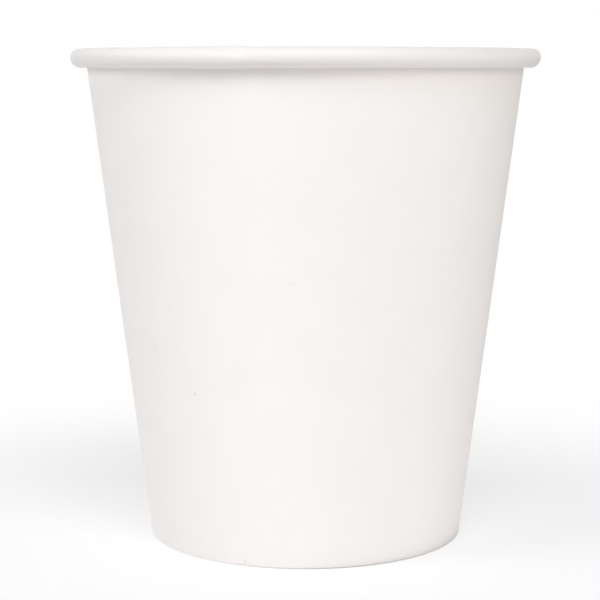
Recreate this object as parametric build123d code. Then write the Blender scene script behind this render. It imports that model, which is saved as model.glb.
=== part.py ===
from build123d import *
import math
import os

# Paper coffee cup, standing on its base with the mouth up.
# Millimetres, +Z up, origin on the ground at the cup's axis, front towards -Y.
# It is two pieces of coated board: a side wall wrapped from one fan-shaped blank,
# and a bottom disc whose skirt the wall's folded hem grips.

# Whole cup
cup_height = 94.4
rim_diameter = 90.0
base_diameter = 60.8

# Board of both pieces, and the film of sealed coating where two faces meet
board = 0.38
seal_gap = 0.03

# Rolled rim: width over the roll at the top, its height, and the outer radius of
# its upper outside corner as a share of that height
curl_width = 3.08
curl_height = 3.55
shoulder_share = 0.44

# Side seam: width of the lap at the rim, length in which the outer ply comes
# down beside the inner ply's cut edge, and the outer cut edge's place,
# counted from the front towards +X
lap_width = 7.2
step_width = 2.4
seam_angle = -21.5

# Folded hem round the skirt: inside radius of the fold's two corners, and how far
# below the floor the hem's free edge stops
fold_radius = 0.1
hem_drop = 1.8

# Recessed floor: height of its underside above the ground, inner radius of its bend
floor_height = 9.0
floor_bend = 0.6

# Pressed board follows its rounds in short flats: this many for the rim's lip and
# shoulder, for its belly, and for each corner of a fold or bend
roll_flat_count = 3
belly_flat_count = 4
fold_flat_count = 2

# Worked out from the sizes above
full_turn = 360.0
right_angle = 90.0
rim_radius = rim_diameter / 2
base_radius = base_diameter / 2
mouth_radius = rim_radius - curl_width
hem_height = floor_height - hem_drop
shoulder = shoulder_share * curl_height
belly = curl_height - shoulder


def wall_lean():
    """Angle of the wall off the axis: its outer face starts at the base radius on
    the ground, its inner face reaches the mouth radius at the top."""
    across = mouth_radius - base_radius
    reach = math.hypot(cup_height, across)
    return math.atan2(across, cup_height) + math.asin(board / reach)


lean = wall_lean()
lean_degrees = math.degrees(lean)


def wall_radius(height, depth):
    """Radius at a height of the cone that lies a depth inside the wall's outer face."""
    return base_radius + height * math.tan(lean) - depth / math.cos(lean)


def on_cone(height, depth):
    return (wall_radius(height, depth), 0, height)


def round_points(centre, radius, start, end, flats):
    """Corners of a round that is made of flats, from one angle to another."""
    corners = []
    for step in range(flats + 1):
        angle = math.radians(start + (end - start) * step / flats)
        across = centre[0] + radius * math.cos(angle)
        up = centre[2] + radius * math.sin(angle)
        corners.append((across, 0, up))
    return corners


def fold_points(offset, lift):
    """The fold under the skirt, from the hem to the wall. Lift is the board that is
    pressed out of the way under it."""
    radius = fold_radius + offset
    height = board + fold_radius + lift
    hem_corner = on_cone(height, 2 * board + 2 * seal_gap - fold_radius)
    wall_corner = on_cone(height, board + fold_radius)
    down = 3 * right_angle
    hem_start = 2 * right_angle - lean_degrees
    wall_end = full_turn - lean_degrees
    hem_side = round_points(hem_corner, radius, hem_start, down, fold_flat_count)
    wall_side = round_points(wall_corner, radius, down, wall_end, fold_flat_count)
    return hem_side + wall_side


def belly_end(radius, backing):
    """Angle at which the belly's round meets the wall, or the board that lies on it."""
    height = cup_height - shoulder
    across = rim_radius - belly - wall_radius(height, -(backing + seal_gap))
    turn = math.acos(across * math.cos(lean) / radius)
    return math.degrees(turn) - 2 * right_angle - lean_degrees


def roll_points(offset, backing):
    """The rolled rim: lip over the mouth, shoulder outside it, and belly below, whose
    free edge ends at the wall. The three rounds meet without a flat between them."""
    lip = (curl_width - shoulder) / (1 / math.cos(lean) - math.tan(lean))
    lip_centre = (rim_radius - shoulder, 0, cup_height - lip)
    shoulder_centre = (rim_radius - shoulder, 0, cup_height - shoulder)
    belly_centre = (rim_radius - belly, 0, cup_height - shoulder)
    lip_start = 2 * right_angle - lean_degrees
    under_radius = belly - offset
    under_end = belly_end(under_radius, backing)
    over = round_points(lip_centre, lip - offset, lip_start, right_angle, roll_flat_count)
    out = round_points(shoulder_centre, shoulder - offset, right_angle, 0, roll_flat_count)
    under = round_points(belly_centre, under_radius, 0, under_end, belly_flat_count)
    return over + out[1:] + under[1:]


def side_line(offset, lift, backing):
    """The side wall's section as one line, from the hem's free edge down, under the
    skirt, up the wall and round the rim to the roll's free edge. Offset 0 is the face
    that meets the drink, and larger offsets lie further out in the board. Backing is
    the board that lies on the wall under the roll."""
    hem_edge = on_cone(hem_height, 2 * board + 2 * seal_gap + offset)
    fold = fold_points(offset, lift)
    roll = roll_points(offset, backing)
    return Polyline(hem_edge, *fold, *roll)


def sheet_face(near_line, far_line):
    """Section of the sheet between two of its lines, as a flat face."""
    ends = [
        Line(near_line @ 0, far_line @ 0),
        Line(near_line @ 1, far_line @ 1),
    ]
    return make_face(Curve() + [near_line, far_line] + ends)


def single_ply_face():
    return sheet_face(side_line(0, 0, 0), side_line(board, 0, 0))


def outer_ply_face():
    """The outer ply of the lap alone. The fold presses it level with a single ply."""
    return sheet_face(
        side_line(board, board, board),
        side_line(2 * board, board, board),
    )


def both_plies_face():
    return sheet_face(side_line(0, 0, board), side_line(2 * board, board, board))


def turned_to(face, angle):
    """A section turned from +X to an angle counted from the front towards +X."""
    return Rot(0, 0, angle - right_angle) * face


def seam_turn(width):
    """Angle that a width takes round the mouth."""
    return math.degrees(width / mouth_radius)


def make_sidewall():
    """One ply nearly all round, two in the lap, and the step where the outer ply
    comes down beside the inner ply's cut edge."""
    lap_end = seam_angle + seam_turn(lap_width)
    step_end = lap_end + seam_turn(step_width)
    single = turned_to(single_ply_face(), step_end)
    double = turned_to(both_plies_face(), seam_angle)
    climbing = turned_to(outer_ply_face(), lap_end)
    wall = revolve(single, Axis.Z, full_turn - (step_end - seam_angle))
    lap = revolve(double, Axis.Z, lap_end - seam_angle)
    step = loft([climbing, single], ruled=True)
    return wall + lap + step


def disc_line(depth, top):
    """One face of the bottom disc: floor, bend and skirt, at a depth in the wall."""
    skirt_bottom = board + fold_radius + seal_gap
    radius = floor_bend + top - floor_height
    bend_height = floor_height - floor_bend
    bend_centre = on_cone(bend_height, 2 * board + seal_gap + floor_bend)
    bend_end = -lean_degrees
    bend = round_points(bend_centre, radius, right_angle, bend_end, fold_flat_count)
    return Polyline((0, 0, top), *bend, on_cone(skirt_bottom, depth))


def make_bottom_disc():
    """Flat floor, bent down at its edge into a skirt that stands in the hem."""
    upper = disc_line(board + seal_gap, floor_height + board)
    lower = disc_line(2 * board + seal_gap, floor_height)
    return revolve(sheet_face(upper, lower), Axis.Z)


os.makedirs("parts", exist_ok=True)
export_step(make_sidewall(), "parts/sidewall.step")
export_step(make_bottom_disc(), "parts/bottom_disc.step")
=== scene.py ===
import bpy
import math
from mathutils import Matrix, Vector


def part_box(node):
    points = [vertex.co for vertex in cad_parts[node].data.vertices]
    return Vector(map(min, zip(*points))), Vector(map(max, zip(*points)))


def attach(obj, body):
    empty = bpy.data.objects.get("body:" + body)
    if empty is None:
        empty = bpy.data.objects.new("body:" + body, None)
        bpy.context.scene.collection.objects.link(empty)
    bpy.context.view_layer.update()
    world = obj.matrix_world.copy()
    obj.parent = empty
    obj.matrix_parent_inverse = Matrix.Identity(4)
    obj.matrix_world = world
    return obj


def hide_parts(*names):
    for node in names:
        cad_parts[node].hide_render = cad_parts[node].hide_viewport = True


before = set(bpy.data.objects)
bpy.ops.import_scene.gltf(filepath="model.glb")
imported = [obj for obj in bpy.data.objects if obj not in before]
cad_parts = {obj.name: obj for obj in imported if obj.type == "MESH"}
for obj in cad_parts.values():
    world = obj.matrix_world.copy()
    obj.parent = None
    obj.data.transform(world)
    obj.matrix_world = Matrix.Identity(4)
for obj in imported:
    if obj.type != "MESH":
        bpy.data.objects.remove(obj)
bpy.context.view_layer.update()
wall_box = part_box("sidewall")
disc_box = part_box("bottom_disc")

# Paper cup of two pieces of board: a side wall wrapped from one blank, with its top
# edge rolled outward and its bottom edge folded round the skirt of a bottom disc.
# Metres and degrees, with azimuths counted from the front, -Y, towards +X.
mm = 0.001
full_turn = 360.0
right_angle = 90.0

# Sizes that the CAD parts in model.glb give
cup_height = wall_box[1].z
rim_radius = wall_box[1].x

# Sizes of the board and its folds
base_radius = 30.4 * mm
board = 0.38 * mm
seal_gap = 0.03 * mm
curl_width = 3.08 * mm
curl_height = 3.55 * mm
shoulder_share = 0.44
fold_radius = 0.1 * mm
hem_drop = 1.8 * mm
floor_bend = 0.6 * mm
floor_height = disc_box[1].z - board

# Side seam: width of the lap, length of the step beside it, place of the outer cut
# edge, and the film between the plies
lap_width = 7.2 * mm
step_width = 2.4 * mm
seam_angle = -21.5
ply_gap = 0.01 * mm

# How the lap is pressed: thickness left at a ply's cut edge as a share of the board,
# the turn in which it grows to full thickness, how far the lap stands out, the turn
# over which it fades into the single ply, and the one in which that ply sinks under it
outer_edge_share = 0.12
outer_edge_turn = 7.0
inner_edge_share = 0.35
inner_edge_turn = 2.2
rim_edge_share = 0.1
rim_edge_turn = 4.0
lap_rise = 0.19 * mm
fade_turn = 3.0
sink_turn = 4.0

# Rim over the lap: how far it stands out, the turn before the lap at which that
# begins, and the turn before the lap's start and before its end between which it is full
hump_rise = 0.1 * mm
hump_lead = 8.0
hump_full = 4.0

# Slope pressed into the rim's shoulder over the lap: depth, how far it reaches round
# the section, the turn in which it begins and ends, its angle in the section, and how
# far that falls across the lap
dent_depth = 0.26 * mm
dent_reach = 52.0
dent_fade = 2.0
dent_angle = 52.0
dent_fall = 24.0

# Knurl pressed into the hem: upright ridges round the cup, their depth, the band of
# heights that has them, and the height in which they begin and end
knurl_count = 92
knurl_depth = 0.07 * mm
knurl_low = 1.3 * mm
knurl_high = 6.6 * mm
knurl_fade = 0.6 * mm

# Bottom disc: how far the floor domes, how many pleats its bend has and how deep they
# are, the height above the hem in which they come free of it, and the shares of the
# floor's radius at which they begin and are full
dome_rise = 0.25 * mm
pleat_count = 64
pleat_depth = 0.09 * mm
pleat_lead = 0.6 * mm
pleat_start_share = 0.9
pleat_full_share = 0.97

# Worked out from the sizes above
mouth_radius = rim_radius - curl_width
hem_height = floor_height - hem_drop
shoulder = shoulder_share * curl_height
belly = curl_height - shoulder
lap_end = seam_angle + math.degrees(lap_width / mouth_radius)
step_end = lap_end + math.degrees(step_width / mouth_radius)
fade_start = lap_end - fade_turn
fade_end = step_end + fade_turn
strip_end = lap_end + full_turn
lean = math.atan2(mouth_radius - base_radius, cup_height) + math.asin(
    board / math.hypot(cup_height, mouth_radius - base_radius)
)
lean_degrees = math.degrees(lean)
lip = (curl_width - shoulder) / (1 / math.cos(lean) - math.tan(lean))

# How finely the meshes follow the form: turn from section to section in and beside the
# lap and elsewhere, rows along each stretch of the wall's section, sections and rows of
# the disc, and the angle from which an edge is sharp
fine_turn = 0.25
coarse_turn = 0.9
hem_rows = 14
fold_rows = 6
wall_rows = 20
neck_rows = 4
roll_rows = 12
belly_rows = 18
disc_columns = 240
disc_rings = 16
skirt_rows = 12
bend_rows = 6
crease_angle = 50.0

# Surfaces, by their place in a piece's list of materials
coated = 0
open_board = 1
cut_edge = 2

# Finish of each surface: colour, roughness, specular level, and height of its fibres
outside_finish = ((0.93, 0.898, 0.873), 0.7, 0.3, 0.02 * mm)
coated_finish = ((0.87, 0.84, 0.817), 0.5, 0.25, 0.004 * mm)
cut_edge_finish = ((0.9, 0.86, 0.82), 0.85, 0.2, 0.05 * mm)

# Texture of the board: size, detail, darkest and lightest share of its clouds, size and
# detail of its fibres, how far roughness varies, strength of the relief, and the span
# of a noise's values that is used
cloud_size = 9 * mm
cloud_detail = 3
cloud_dark_share = 0.99
cloud_light_share = 1.005
fibre_size = 0.35 * mm
fibre_detail = 4
roughness_spread = 0.05
relief_strength = 0.5
noise_low = 0.3
noise_high = 0.7

# Specks in the board, and at the seam's foot painted shade for the shadow in its nick:
# azimuth, height, width, and the share of light that each takes
wall_specks_and_nick_shade = (
    (-35.7, 32.1 * mm, 0.4 * mm, 0.22),
    (-51.5, 40.1 * mm, 0.7 * mm, 0.06),
    (-4.0, 53.2 * mm, 0.5 * mm, 0.06),
    (1.0, 64.7 * mm, 0.5 * mm, 0.04),
    # Painted shade: these three darken the colour where the nick at the seam's foot lies in
    # shadow
    (-21.5, 1.1 * mm, 0.25 * mm, 0.2),
    (-21.1, 0.8 * mm, 0.22 * mm, 0.14),
    (-20.9, 0.5 * mm, 0.25 * mm, 0.14),
)

# Speck on the belly of the rim: azimuth, angle in the section, width, share
rim_speck = (-13.6, -26.0, 0.45 * mm, 0.08)

# Camera: lens, place, angle below level, and sideways shift
camera_lens = 106.48
camera_place = (0, -0.3453, 0.09082)
camera_pitch = 7.45
camera_shift = -0.0092

# Lamps: distance from the middle of the cup and width, then the name, azimuth,
# elevation, watts and colour of each
lamp_distance = 1.2
lamp_size = 0.6
lamps = (
    ("left", -70, 28, 6.2, (0.98, 1, 0.99)),
    ("front_high", 0, 50, 5.9, (0.9, 0.93, 1)),
    ("right_front", 35, 28, 6.1, (1, 0.98, 0.92)),
)

# Colour of the sky, and of the floor away from the shadow
white = (1, 1, 1, 1)

# Sky: strength in front of the cup and behind it, and the shares of the way to the back
# at which it begins to grow and is full
front_sky = 0.05
back_sky = 0.45
back_start_share = 0.1
back_full_share = 0.7

# Floor: width, colour that the camera sees in the shadow, and, towards the cup, the
# colour that it throws back and the light that it gives
floor_size = 3.0
floor_seen = (0.97, 0.97, 0.97, 1)
floor_bounce = (0.7, 0.7, 0.7, 1)
floor_glow = (0.9, 0.885, 0.905, 1)

# Share of the floor's shadow that shows, how far from the axis it does so in full, and
# where it is gone
shadow_share = 0.42
shadow_near = 35 * mm
shadow_far = 160 * mm

# Share of the floor's light that is left far from the cup, how far from the axis it is
# whole, and where it has fallen to that share
glow_share = 0.4
glow_near = 80 * mm
glow_far = 180 * mm

# Round the foot, mostly on its right, the floor gives less light: centre of that round,
# its radius, the radius at which the light is whole again, and its strength inside
contact_centre = (1.5 * mm, 0, 0)
contact_near = 30.2 * mm
contact_far = 30.9 * mm
contact_glow = 0.5


# Curves

def blend_in(value, start, end):
    """0 before start, 1 after end, and a smooth climb between."""
    share = min(1.0, max(0.0, (value - start) / (end - start)))
    return share * share * (3 - 2 * share)


def bump(value, centre, width):
    """1 at the centre, falling smoothly to 0 a width away on each side."""
    return 1 - blend_in(abs(value - centre), 0, width)


def ripple(azimuth, count):
    """Between 0 and 1, as many times round the cup as the count says."""
    return (1 + math.sin(math.radians(azimuth) * count)) / 2


def wall_radius(height, depth):
    """Radius at a height of the cone that lies a depth inside the wall's outer face."""
    return base_radius + height * math.tan(lean) - depth / math.cos(lean)


def place(point, azimuth):
    """A section point, as radius and height, turned to its azimuth."""
    turn = math.radians(azimuth)
    return (point[0] * math.sin(turn), -point[0] * math.cos(turn), point[1])


def arc(centre, radius, start, end, rows):
    """Points of a round in the section, as radius from the axis and height."""
    points = []
    for row in range(rows + 1):
        angle = math.radians(start + (end - start) * row / rows)
        across = centre[0] + radius * math.cos(angle)
        up = centre[1] + radius * math.sin(angle)
        points.append((across, up))
    return points


def straight(first, last, rows):
    """Points between two others, without either of them."""
    points = []
    for row in range(1, rows):
        share = row / rows
        across = first[0] + (last[0] - first[0]) * share
        up = first[1] + (last[1] - first[1]) * share
        points.append((across, up))
    return points


# Section of the side wall

def belly_end(radius, backing):
    """Angle at which the belly's round meets the wall, or the board that lies on it."""
    height = cup_height - shoulder
    across = rim_radius - belly - wall_radius(height, -(backing + seal_gap))
    turn = math.acos(across * math.cos(lean) / radius)
    return math.degrees(turn) - 2 * right_angle - lean_degrees


def dented(points, centre, dent, high):
    """Rim points pressed in across the shoulder, so that its round becomes a broad
    slope. High is the angle of the section at which the dent is deepest."""
    moved = []
    for across, up in points:
        turn = math.atan2(up - centre[1], across - centre[0])
        reach = dent * bump(math.degrees(turn), high, dent_reach)
        moved.append((across - reach * math.cos(turn), up - reach * math.sin(turn)))
    return moved


def roll_points(offset, backing, dent, high):
    """Lip over the mouth, shoulder outside it and belly below, whose free edge ends
    at the wall."""
    lip_centre = (rim_radius - shoulder, cup_height - lip)
    shoulder_centre = (rim_radius - shoulder, cup_height - shoulder)
    belly_centre = (rim_radius - belly, cup_height - shoulder)
    lip_start = 2 * right_angle - lean_degrees
    under_radius = belly - offset
    under_end = belly_end(under_radius, backing)
    over = arc(lip_centre, lip - offset, lip_start, right_angle, roll_rows)
    out = arc(shoulder_centre, shoulder - offset, right_angle, 0, roll_rows)
    under = arc(belly_centre, under_radius, 0, under_end, belly_rows)
    return dented(over + out[1:] + under[1:], shoulder_centre, dent, high)


def fold_points(offset, lowest):
    """The fold under the skirt, from the hem to the wall, above its lowest height."""
    radius = fold_radius + offset
    height = lowest + radius
    hem_depth = 2 * board + 2 * seal_gap - fold_radius
    hem_centre = (wall_radius(height, hem_depth), height)
    wall_centre = (wall_radius(height, board + fold_radius), height)
    down = 3 * right_angle
    hem_side = arc(hem_centre, radius, 2 * right_angle - lean_degrees, down, fold_rows)
    wall_side = arc(wall_centre, radius, down, full_turn - lean_degrees, fold_rows)
    return hem_side + wall_side


def side_line(offset, lowest, roll):
    """One face of the sheet in section, from the hem's free edge down, under the
    skirt, up the wall and round the rim. Offset 0 is the face that meets the drink."""
    hem_depth = 2 * board + 2 * seal_gap + offset
    hem_edge = (wall_radius(hem_height, hem_depth), hem_height)
    fold = fold_points(offset, lowest)
    neck_height = cup_height - curl_height
    neck = (wall_radius(neck_height, board - offset), neck_height)
    hem = [hem_edge] + straight(hem_edge, fold[0], hem_rows)
    wall = straight(fold[-1], neck, wall_rows) + [neck]
    return hem + fold + wall + straight(neck, roll[0], neck_rows) + roll


# Lap of the side wall

def pressed(turn, share, reach):
    """Thickness of a ply at a turn away from its cut edge: the seam is pressed hard
    while it is sealed."""
    return board * (share + (1 - share) * blend_in(turn, 0, reach))


def outer_ply(azimuth):
    """Thickness of the outer ply of the wall, inside the lap and beyond it."""
    return pressed(azimuth - seam_angle, outer_edge_share, outer_edge_turn)


def lap_height(azimuth):
    """How far the wall's outside stands out from the single ply, over the lap."""
    up = blend_in(azimuth, seam_angle, seam_angle + outer_edge_turn)
    down = blend_in(azimuth, fade_start, fade_end)
    return lap_rise * up * (1 - down)


def rim_hump(azimuth):
    """How far the rim stands out where its roll has two plies."""
    up = blend_in(azimuth, seam_angle - hump_lead, seam_angle - hump_full)
    down = blend_in(azimuth, lap_end - hump_full, lap_end)
    return hump_rise * up * (1 - down)


def rim_dent(azimuth):
    """Depth of the broad slope on the shoulder of the roll, and its angle in the
    section, which falls across the lap."""
    up = blend_in(azimuth, seam_angle - dent_fade, seam_angle + dent_fade)
    down = blend_in(azimuth, lap_end - dent_fade, lap_end)
    across = (azimuth - seam_angle) / (lap_end - seam_angle)
    return dent_depth * up * (1 - down), dent_angle - dent_fall * across


def rim_line(azimuth, offset):
    """One face of the roll at an azimuth, offset from the face that meets the drink."""
    dent, high = rim_dent(azimuth)
    return roll_points(offset - rim_hump(azimuth), lap_height(azimuth), dent, high)


def outer_ply_section(azimuth):
    """Both faces of the outer ply, which comes down beside the inner ply's edge."""
    thickness = outer_ply(azimuth)
    far_offset = board + lap_height(azimuth)
    under = pressed(lap_end - azimuth, rim_edge_share, rim_edge_turn) + ply_gap
    rim_offset = under * (1 - blend_in(azimuth, lap_end, step_end))
    down = blend_in(azimuth, lap_end, fade_end)
    near_lowest = board * (1 + down) / 2
    near_rim = rim_line(azimuth, rim_offset)
    far_rim = rim_line(azimuth, rim_offset + thickness)
    near = side_line(far_offset - thickness, near_lowest, near_rim)
    far = side_line(far_offset, 0, far_rim)
    return near, far


def inner_ply_section(azimuth):
    """Both faces of the single ply, which ends as the inner ply of the lap."""
    lap_azimuth = azimuth - full_turn
    sunk = blend_in(lap_azimuth, seam_angle - sink_turn, seam_angle)
    outside = board + lap_height(lap_azimuth) - sunk * (outer_ply(lap_azimuth) + ply_gap)
    thickness = pressed(strip_end - azimuth, inner_edge_share, inner_edge_turn)
    rim_thickness = pressed(strip_end - azimuth, rim_edge_share, rim_edge_turn)
    near_rim = rim_line(lap_azimuth, 0)
    far_rim = rim_line(lap_azimuth, rim_thickness)
    near = side_line(outside - thickness, board, near_rim)
    far = side_line(outside, board / 2 * sunk, far_rim)
    return near, far


# Side wall round the axis

def strip_columns():
    """Azimuths of the sections, from the outer cut edge once round to the inner one,
    close together where the plies change."""
    columns = []
    azimuth = seam_angle
    while azimuth < strip_end:
        columns.append(azimuth)
        in_lap = azimuth < fade_end + coarse_turn
        under_lap = azimuth > seam_angle + full_turn - hump_lead - coarse_turn
        azimuth += fine_turn if in_lap or under_lap else coarse_turn
    if strip_end - columns[-1] < fine_turn / 2:
        columns.pop()
    return columns + [strip_end]


def knurl(azimuth, height):
    """Depth of the fine upright ridges that are pressed into the hem."""
    band = blend_in(height, knurl_low, knurl_low + knurl_fade)
    band *= 1 - blend_in(height, knurl_high - knurl_fade, knurl_high)
    return knurl_depth * band * ripple(azimuth, knurl_count)


def knurled(line, azimuth):
    """The outside with ridges on the hem: only the stretch above the fold has them."""
    ridged = []
    for number, point in enumerate(line):
        depth = knurl(azimuth, point[1]) if number <= hem_rows else 0
        ridged.append((point[0] + depth, point[1]))
    return ridged


def strip_section(azimuth):
    """Closed loop of the sheet's section at an azimuth: its drink side from hem to
    rim, then its outside back again."""
    if azimuth < fade_end:
        near, far = outer_ply_section(azimuth)
    else:
        near, far = inner_ply_section(azimuth)
    far = knurled(far, azimuth)
    return [place(point, azimuth) for point in near + far[::-1]]


# Meshes from sections. Each section has as many points as the next, and a face is
# given by its points' numbers.

def faces_between(here, there, rows, size):
    """Faces between two sections of a size, by the number of each one's first point."""
    faces = []
    for row in range(rows):
        after = (row + 1) % size
        faces.append((here + row, there + row, there + after, here + after))
    return faces


def end_faces(first, size):
    """Faces across the section that starts at a point, which is a cut edge."""
    faces = []
    for row in range(size // 2 - 1):
        near = first + row
        far = first + size - 1 - row
        faces.append((near, near + 1, far - 1, far))
    return faces


def round_faces(centre, row, size):
    """Faces of the disc from a centre point to one point of each section."""
    faces = []
    for column in range(disc_columns):
        here = column * size + row
        there = (column + 1) % disc_columns * size + row
        faces.append((centre, here, there))
    return faces


def turned_over(faces):
    """The same faces, seen from their other side."""
    return [face[::-1] for face in faces]


def loop_kinds(line_size):
    """Surface of each face round a closed section, by the points on each of its sides:
    drink side, cut edge at the far end, outside, cut edge at the near end."""
    drink_side = [coated] * (line_size - 1)
    outside = [open_board] * (line_size - 1)
    return drink_side + [cut_edge] + outside + [cut_edge]


def mesh_object(name, points, faces, kinds, materials):
    """A smooth-shaded mesh with sharp cut edges, and a surface for each face."""
    mesh = bpy.data.meshes.new(name)
    mesh.from_pydata(points, [], faces)
    for material in materials:
        mesh.materials.append(material)
    mesh.polygons.foreach_set("material_index", kinds)
    mesh.shade_smooth()
    mesh.set_sharp_from_angle(angle=math.radians(crease_angle))
    mesh.update()
    piece = bpy.data.objects.new(name, mesh)
    bpy.context.scene.collection.objects.link(piece)
    return piece


def make_sidewall(materials):
    """The side wall as one strip of board, wrapped once round and lapped."""
    sections = [strip_section(azimuth) for azimuth in strip_columns()]
    size = len(sections[0])
    points = [point for section in sections for point in section]
    faces = []
    kinds = []
    for column in range(len(sections) - 1):
        here = column * size
        faces += faces_between(here, here + size, size, size)
        kinds += loop_kinds(size // 2)
    last = (len(sections) - 1) * size
    ends = end_faces(0, size) + turned_over(end_faces(last, size))
    faces += ends
    kinds += [cut_edge] * len(ends)
    return mesh_object("sidewall_board", points, faces, kinds, materials)


# Bottom disc

def disc_line(depth, top):
    """One face of the disc in section: floor, bend and skirt."""
    bend_height = floor_height - floor_bend
    bend_centre = (wall_radius(bend_height, 2 * board + seal_gap + floor_bend), bend_height)
    bend_radius = floor_bend + top - floor_height
    bend = arc(bend_centre, bend_radius, right_angle, -lean_degrees, bend_rows)
    foot_height = board + fold_radius + seal_gap
    foot = (wall_radius(foot_height, depth), foot_height)
    floor = [(bend[0][0] * ring / disc_rings, top) for ring in range(1, disc_rings)]
    return floor + bend + straight(bend[-1], foot, skirt_rows) + [foot]


def disc_point(point, azimuth, depth):
    """A point of the disc, with the floor's slight doming and the pleats, of a depth,
    that form where the flat blank is drawn down."""
    share = min(1.0, point[0] / wall_radius(floor_height, 2 * board))
    rise = dome_rise * (1 - share * share) ** 2
    free = blend_in(point[1], hem_height, hem_height + pleat_lead)
    near_bend = blend_in(share, pleat_start_share, pleat_full_share)
    drawn = depth * free * near_bend * ripple(azimuth, pleat_count)
    return place((point[0] - drawn, point[1] + rise), azimuth)


def make_bottom_disc(materials):
    """Round floor of the cup, bent down at its edge into a skirt."""
    upper = disc_line(board + seal_gap, floor_height + board)
    lower = disc_line(2 * board + seal_gap, floor_height)
    size = len(upper) + len(lower)
    points = []
    faces = []
    kinds = []
    for column in range(disc_columns):
        azimuth = full_turn * column / disc_columns
        there = (column + 1) % disc_columns * size
        points += [disc_point(point, azimuth, 0) for point in upper]
        points += [disc_point(point, azimuth, pleat_depth) for point in lower[::-1]]
        faces += faces_between(column * size, there, size - 1, size)
        kinds += loop_kinds(len(upper))[:-1]
    top_centre = len(points)
    points.append((0, 0, floor_height + board + dome_rise))
    points.append((0, 0, floor_height + dome_rise))
    faces += round_faces(top_centre, 0, size)
    faces += turned_over(round_faces(top_centre + 1, size - 1, size))
    kinds += [coated] * disc_columns + [open_board] * disc_columns
    return mesh_object("bottom_disc_board", points, faces, kinds, materials)


# Nodes of the materials. A value is an output or a plain number or colour.

def feed(tree, value, target):
    """Links an output to an input, or sets the input to a plain value."""
    if isinstance(value, bpy.types.NodeSocket):
        tree.links.new(value, target)
    else:
        target.default_value = value


def coordinates(tree, kind):
    """Coordinates of a kind, for a texture or a distance."""
    return tree.nodes.new("ShaderNodeTexCoord").outputs[kind]


def math_node(tree, operation, first, second):
    """Result of one sum on two values."""
    node = tree.nodes.new("ShaderNodeMath")
    node.operation = operation
    feed(tree, first, node.inputs[0])
    feed(tree, second, node.inputs[1])
    return node.outputs["Value"]


def map_range(tree, value, start, end, low, high, climb="SMOOTHSTEP"):
    """A value's span from start to end turned into low to high, and held beyond it."""
    node = tree.nodes.new("ShaderNodeMapRange")
    node.interpolation_type = climb
    feed(tree, value, node.inputs["Value"])
    feed(tree, start, node.inputs["From Min"])
    feed(tree, end, node.inputs["From Max"])
    feed(tree, low, node.inputs["To Min"])
    feed(tree, high, node.inputs["To Max"])
    return node.outputs["Result"]


def mixed(tree, factor, first, second):
    """Colour between two others by a factor."""
    node = tree.nodes.new("ShaderNodeMix")
    node.data_type = "RGBA"
    feed(tree, factor, node.inputs["Factor"])
    feed(tree, first, node.inputs["A"])
    feed(tree, second, node.inputs["B"])
    return node.outputs["Result"]


def distance(tree, where, centre):
    """Distance of each point from a centre."""
    node = tree.nodes.new("ShaderNodeVectorMath")
    node.operation = "DISTANCE"
    feed(tree, where, node.inputs[0])
    feed(tree, centre, node.inputs[1])
    return node.outputs["Value"]


def tinted(tree, colour, share):
    """A colour made darker or lighter by a share."""
    node = tree.nodes.new("ShaderNodeVectorMath")
    node.operation = "SCALE"
    feed(tree, colour, node.inputs[0])
    feed(tree, share, node.inputs["Scale"])
    return node.outputs["Vector"]


def noise(tree, where, size, detail):
    """Noise whose cells are about a size across."""
    node = tree.nodes.new("ShaderNodeTexNoise")
    feed(tree, where, node.inputs["Vector"])
    feed(tree, 1 / size, node.inputs["Scale"])
    feed(tree, detail, node.inputs["Detail"])
    return node.outputs["Fac"]


def spread(tree, value, low, high):
    """A noise's values spread evenly between two others."""
    return map_range(tree, value, noise_low, noise_high, low, high, "LINEAR")


def new_tree(name):
    """A new material, and the tree of its nodes."""
    material = bpy.data.materials.new(name)
    material.use_nodes = True
    return material, material.node_tree


# Paper board

def on_wall(azimuth, height):
    """Place on the wall's outside."""
    return place((wall_radius(height, 0), height), azimuth)


def on_belly(azimuth, angle):
    """Place on the rim's belly, by the angle of its section."""
    centre = (rim_radius - belly, cup_height - shoulder)
    return place(arc(centre, belly, angle, angle, 1)[0], azimuth)


def specked_and_shaded(tree, where, share, specks_and_shade):
    """A share made smaller round each speck, or each spot of painted shade, which is a
    place, a width and what it takes."""
    for centre, width, taken in specks_and_shade:
        away = distance(tree, where, centre)
        left = map_range(tree, away, 0.0, width, 1 - taken, 1.0)
        share = math_node(tree, "MULTIPLY", share, left)
    return share


def relief(tree, height, depth):
    """Normals of a surface with a fine relief of a depth."""
    node = tree.nodes.new("ShaderNodeBump")
    feed(tree, relief_strength, node.inputs["Strength"])
    feed(tree, depth, node.inputs["Distance"])
    feed(tree, height, node.inputs["Height"])
    return node.outputs["Normal"]


def board_material(name, colour, roughness, specular, fibre_depth, specks_and_shade=()):
    """Paper board: cloudy and fibrous in colour, with a fine tooth, a few specks, and any
    painted shade that it is given, such as the painted shadow in the nick at the seam's
    foot.
    """
    material, tree = new_tree(name)
    inputs = tree.nodes["Principled BSDF"].inputs
    where = coordinates(tree, "Object")
    clouds = noise(tree, where, cloud_size, cloud_detail)
    fibres = noise(tree, where, fibre_size, fibre_detail)
    share = spread(tree, clouds, cloud_dark_share, cloud_light_share)
    share = specked_and_shaded(tree, where, share, specks_and_shade)
    smooth = roughness - roughness_spread
    rough = roughness + roughness_spread
    feed(tree, tinted(tree, colour, share), inputs["Base Color"])
    feed(tree, spread(tree, fibres, smooth, rough), inputs["Roughness"])
    feed(tree, specular, inputs["Specular IOR Level"])
    feed(tree, relief(tree, fibres, fibre_depth), inputs["Normal"])
    return material


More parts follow.
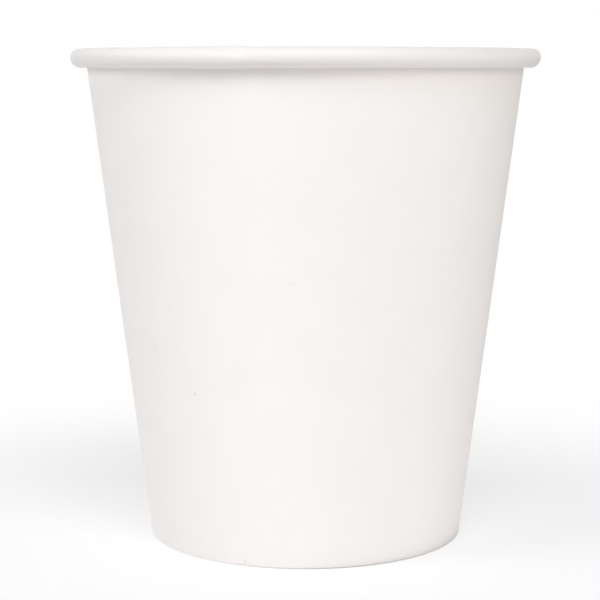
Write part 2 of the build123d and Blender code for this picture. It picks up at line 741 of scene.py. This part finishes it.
def make_cup():
    """The two pieces of board, each on its body and in its node's place."""
    # The outside's specks, with painted shade for the shadow in the nick at the seam's foot
    specks_and_nick_shade_outside = [(on_wall(*spot[:2]), *spot[2:]) for spot in wall_specks_and_nick_shade]
    on_rim = [(on_belly(*rim_speck[:2]), *rim_speck[2:])]
    coated_side = board_material("coated_board", *coated_finish, on_rim)
    outside = board_material("outside_board", *outside_finish, specks_and_nick_shade_outside)
    edge = board_material("cut_edge", *cut_edge_finish)
    materials = [coated_side, outside, edge]
    sidewall = make_sidewall(materials)
    disc = make_bottom_disc(materials)
    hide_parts("sidewall")
    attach(sidewall, "root")
    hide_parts("bottom_disc")
    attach(disc, "root")


# Studio

def add_camera():
    """Camera at the photograph's angle, looking slightly down."""
    data = bpy.data.cameras.new("camera")
    data.lens = camera_lens
    data.shift_x = camera_shift
    camera = bpy.data.objects.new("camera", data)
    camera.location = camera_place
    camera.rotation_euler = (math.radians(right_angle - camera_pitch), 0, 0)
    bpy.context.scene.collection.objects.link(camera)
    bpy.context.scene.camera = camera


def add_lamp(name, azimuth, elevation, watts, colour):
    """Square soft light that faces the middle of the cup and isn't seen itself."""
    data = bpy.data.lights.new(name, "AREA")
    data.size = lamp_size
    data.energy = watts
    data.color = colour
    lamp = bpy.data.objects.new(name, data)
    turn = math.radians(azimuth)
    rise = math.radians(elevation)
    level = Vector((math.sin(turn), -math.cos(turn), 0)) * math.cos(rise)
    away = level + Vector((0, 0, math.sin(rise)))
    lamp.location = Vector((0, 0, cup_height / 2)) + lamp_distance * away
    lamp.rotation_mode = "QUATERNION"
    lamp.rotation_quaternion = (-away).to_track_quat("-Z", "Y")
    lamp.visible_camera = False
    bpy.context.scene.collection.objects.link(lamp)


def add_world():
    """Soft sky, most of it behind the cup, and plain white where it is seen or
    mirrored."""
    world = bpy.data.worlds.new("studio")
    world.use_nodes = True
    tree = world.node_tree
    rays = tree.nodes.new("ShaderNodeLightPath").outputs
    seen = math_node(tree, "MAXIMUM", rays["Is Camera Ray"], rays["Is Glossy Ray"])
    seen = math_node(tree, "MAXIMUM", seen, rays["Is Transmission Ray"])
    direction = tree.nodes.new("ShaderNodeSeparateXYZ")
    feed(tree, coordinates(tree, "Generated"), direction.inputs["Vector"])
    back = direction.outputs["Y"]
    sky = map_range(tree, back, back_start_share, back_full_share, front_sky, back_sky)
    background = tree.nodes["Background"]
    feed(tree, white, background.inputs["Color"])
    feed(tree, map_range(tree, seen, 0.0, 1.0, sky, 1.0), background.inputs["Strength"])
    bpy.context.scene.world = world


def floor_material():
    """White floor that keeps a soft shadow round the cup and is plain white beyond.
    It gives the cup an even light from below, most of it close by."""
    material, tree = new_tree("floor")
    tree.nodes.remove(tree.nodes["Principled BSDF"])
    where = coordinates(tree, "Object")
    seen = tree.nodes.new("ShaderNodeLightPath").outputs["Is Camera Ray"]
    away = distance(tree, where, (0, 0, 0))
    plain = map_range(tree, away, shadow_near, shadow_far, 1 - shadow_share, 1.0)
    glowing = map_range(tree, away, glow_near, glow_far, 1.0, glow_share)
    from_foot = distance(tree, where, contact_centre)
    lit = map_range(tree, from_foot, contact_near, contact_far, contact_glow, 1.0)
    matte = tree.nodes.new("ShaderNodeBsdfDiffuse")
    feed(tree, mixed(tree, seen, floor_bounce, floor_seen), matte.inputs["Color"])
    glow = tree.nodes.new("ShaderNodeEmission")
    feed(tree, mixed(tree, seen, floor_glow, white), glow.inputs["Color"])
    feed(tree, map_range(tree, seen, 0.0, 1.0, lit, 1.0), glow.inputs["Strength"])
    mix = tree.nodes.new("ShaderNodeMixShader")
    feed(tree, map_range(tree, seen, 0.0, 1.0, glowing, plain), mix.inputs["Fac"])
    feed(tree, matte.outputs["BSDF"], mix.inputs[1])
    feed(tree, glow.outputs["Emission"], mix.inputs[2])
    feed(tree, mix.outputs["Shader"], tree.nodes["Material Output"].inputs["Surface"])
    return material


def add_floor():
    """Plain pale floor that the cup stands on."""
    half = floor_size / 2
    corners = [(-half, -half, 0), (half, -half, 0), (half, half, 0), (-half, half, 0)]
    mesh = bpy.data.meshes.new("floor")
    mesh.from_pydata(corners, [], [(0, 1, 2, 3)])
    mesh.materials.append(floor_material())
    floor = bpy.data.objects.new("floor", mesh)
    bpy.context.scene.collection.objects.link(floor)


make_cup()
add_floor()
add_world()
add_camera()
for lamp in lamps:
    add_lamp(*lamp)
bpy.context.scene.view_settings.view_transform = "Standard"
